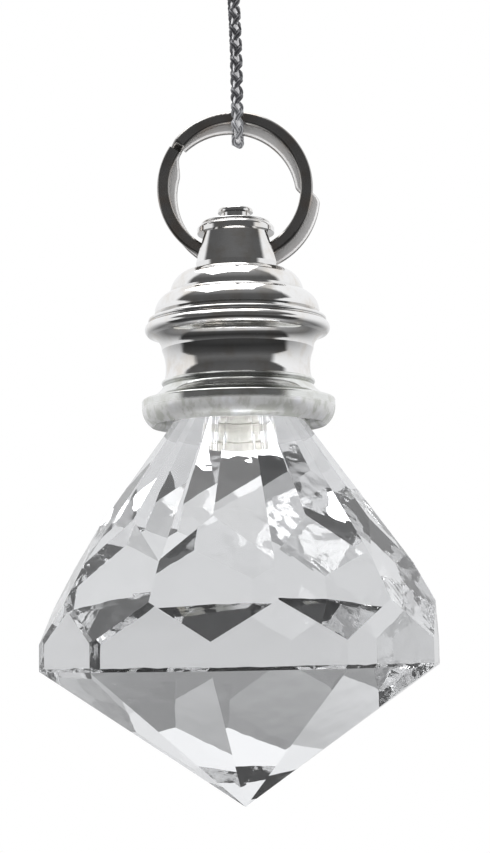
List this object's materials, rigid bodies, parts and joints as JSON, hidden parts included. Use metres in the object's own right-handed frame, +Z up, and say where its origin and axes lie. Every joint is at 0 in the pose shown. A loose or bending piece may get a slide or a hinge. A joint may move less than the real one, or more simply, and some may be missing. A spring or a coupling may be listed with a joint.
{
  "type": "icicle hanging ornament",
  "caption": "Clear faceted drop under a tiered polished metal cap, hung from a split ring and a braided metallic cord loop.",
  "frame": {"origin": "inside top of the cord's loop, where a hook or twig bears", "axes": "+Z up along the cord and the drop's axis; the front, which shows the split ring face on, faces -Y"},
  "size_m": [0.05, 0.0504, 0.1263],
  "materials": {
    "cord": "braided metallic thread",
    "ring_nickel": "polished nickel plate, slightly dulled",
    "cap_nickel": "mirror-polished nickel plate",
    "flange_nickel": "polished nickel plate, mottled at the lip",
    "gasket": "translucent silicone",
    "brass": "machined",
    "steel": "bright zinc",
    "clear_drop": "clear polished acrylic"
  },
  "bodies": {
    "loop": {"top_loop": "cord", "cord_knot": "cord"},
    "hanger": {"hanging_cord": "cord", "split_ring": "ring_nickel"},
    "drop": {"finial_button": "cap_nickel", "finial_disc": "cap_nickel", "eye_boss": "cap_nickel", "bell_cap": "cap_nickel", "rim_disc": "cap_nickel", "spool_collar": "cap_nickel", "lower_flange": "flange_nickel", "seat_gasket": "gasket", "thread_insert": "brass", "threaded_stud": "steel", "stud_nut": "steel", "lock_washer": "steel", "crystal_drop": "clear_drop"}
  },
  "joints": [
    {"name": "cord_twist", "type": "hinge", "parent": "loop", "child": "hanger", "pos_m": [0, 0, -0.0178], "axis": [0, 0, 1], "continuous": true},
    {"name": "ring_swing", "type": "hinge", "parent": "hanger", "child": "drop", "pos_m": [0, 0, -0.0543], "axis": [1, 0, 0], "range_deg": [-30, 30]}
  ]
}
